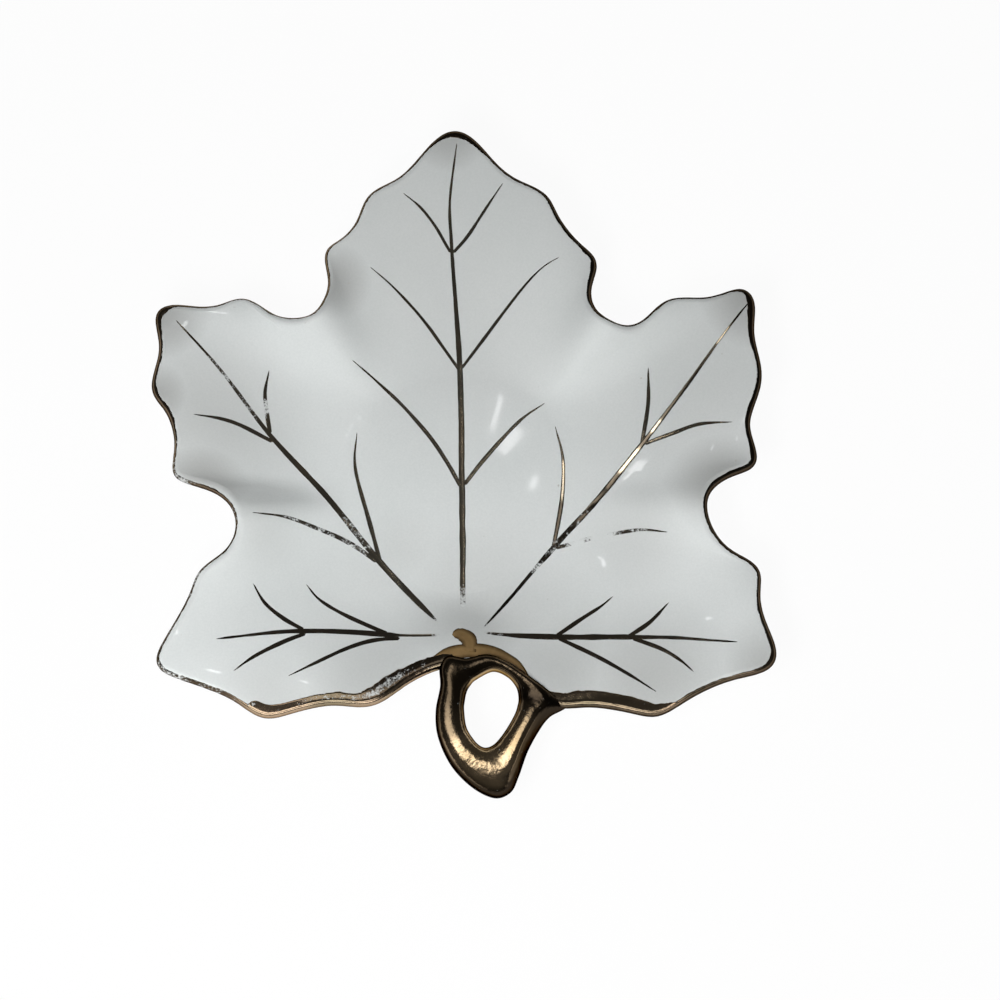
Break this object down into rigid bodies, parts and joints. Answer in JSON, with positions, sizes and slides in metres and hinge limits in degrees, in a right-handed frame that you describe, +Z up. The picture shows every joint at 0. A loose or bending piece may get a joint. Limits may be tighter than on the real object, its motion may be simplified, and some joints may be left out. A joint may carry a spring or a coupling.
{
  "type": "ring dish",
  "caption": "Porcelain maple-leaf ring dish on a foot ring, with a gilded loop handle, gold veins and a gold rim, for rings and small trinkets.",
  "frame": {"origin": "middle of the foot ring on the surface it stands on", "axes": "+X to the right, +Y from the loop handle to the back lobe's tip, +Z up"},
  "size_m": [0.1192, 0.1314, 0.0156],
  "materials": {
    "porcelain": "clear gloss glaze over white porcelain, faintly blue",
    "bisque": "unglazed, ground foot",
    "gold": "brushed and fired bright gold, worn in places"
  },
  "bodies": {
    "root": {"leaf_dish": "porcelain", "foot_ring": "bisque", "loop_handle": "gold", "back_vein": "gold", "back_vein_side_1": "gold", "back_vein_side_2": "gold", "back_vein_side_3": "gold", "back_vein_side_4": "gold", "back_vein_side_5": "gold", "back_vein_side_6": "gold", "upper_left_vein": "gold", "upper_left_vein_side_1": "gold", "upper_left_vein_side_2": "gold", "upper_left_vein_side_3": "gold", "upper_left_vein_side_4": "gold", "upper_right_vein": "gold", "upper_right_vein_side_1": "gold", "upper_right_vein_side_2": "gold", "upper_right_vein_side_3": "gold", "upper_right_vein_side_4": "gold", "lower_left_vein": "gold", "lower_left_vein_side_1": "gold", "lower_left_vein_side_2": "gold", "lower_left_vein_side_3": "gold", "lower_left_vein_side_4": "gold", "lower_right_vein": "gold", "lower_right_vein_side_1": "gold", "lower_right_vein_side_2": "gold", "lower_right_vein_side_3": "gold", "lower_right_vein_side_4": "gold", "rim_line": "gold", "front_band_left": "gold", "front_band_right": "gold", "stem_wash": "gold", "hub_dab": "gold"}
  },
  "joints": []
}
